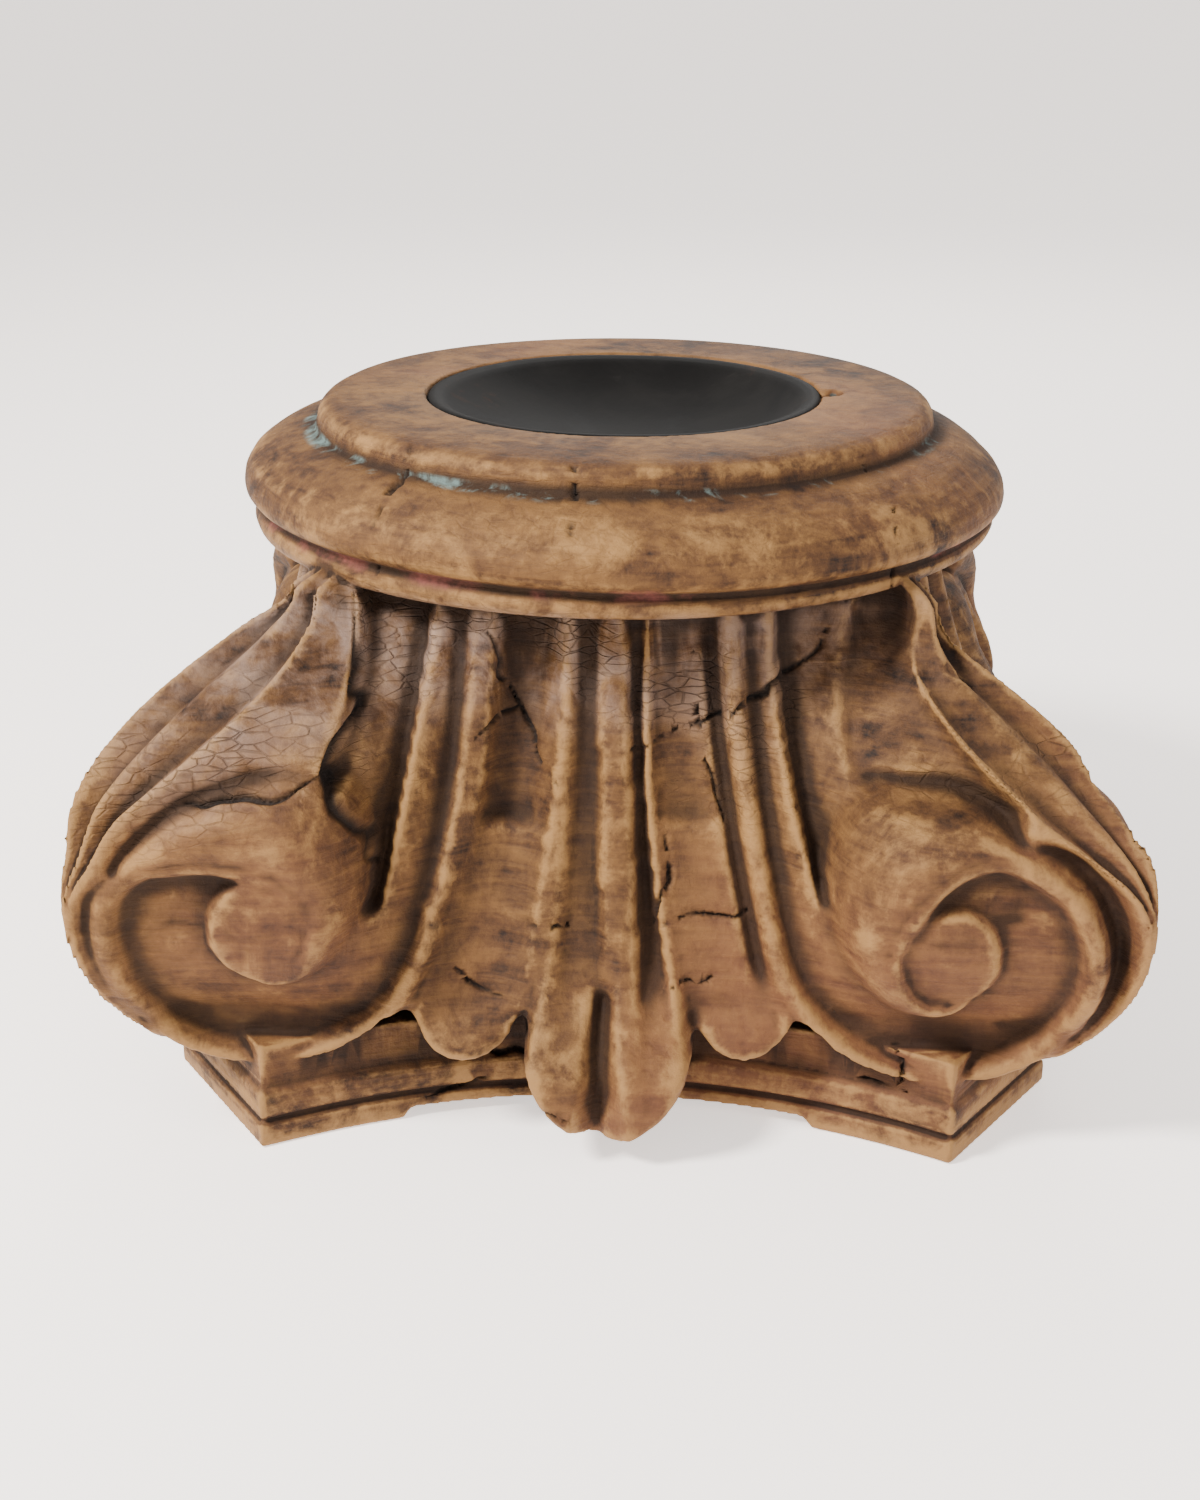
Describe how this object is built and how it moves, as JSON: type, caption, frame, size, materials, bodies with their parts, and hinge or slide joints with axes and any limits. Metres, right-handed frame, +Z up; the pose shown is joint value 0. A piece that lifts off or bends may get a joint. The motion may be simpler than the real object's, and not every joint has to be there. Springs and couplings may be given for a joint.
{
  "type": "column base",
  "caption": "Square carved wooden column base with scrolled corner volutes, fluted sides with leaves, a round moulded top and a shallow metal dish set into it.",
  "frame": {"origin": "centre of the underside, on the floor", "axes": "+Z up; -Y towards the face seen in the picture; X across that face"},
  "size_m": [0.387, 0.387, 0.247],
  "materials": {
    "column_base_body": "dry, worn and weathered, with cracks and traces of old paint",
    "top_dish": "dark, smooth, half glossy"
  },
  "bodies": {
    "root": {"column_base_body": "column_base_body", "top_dish": "top_dish"}
  },
  "joints": []
}
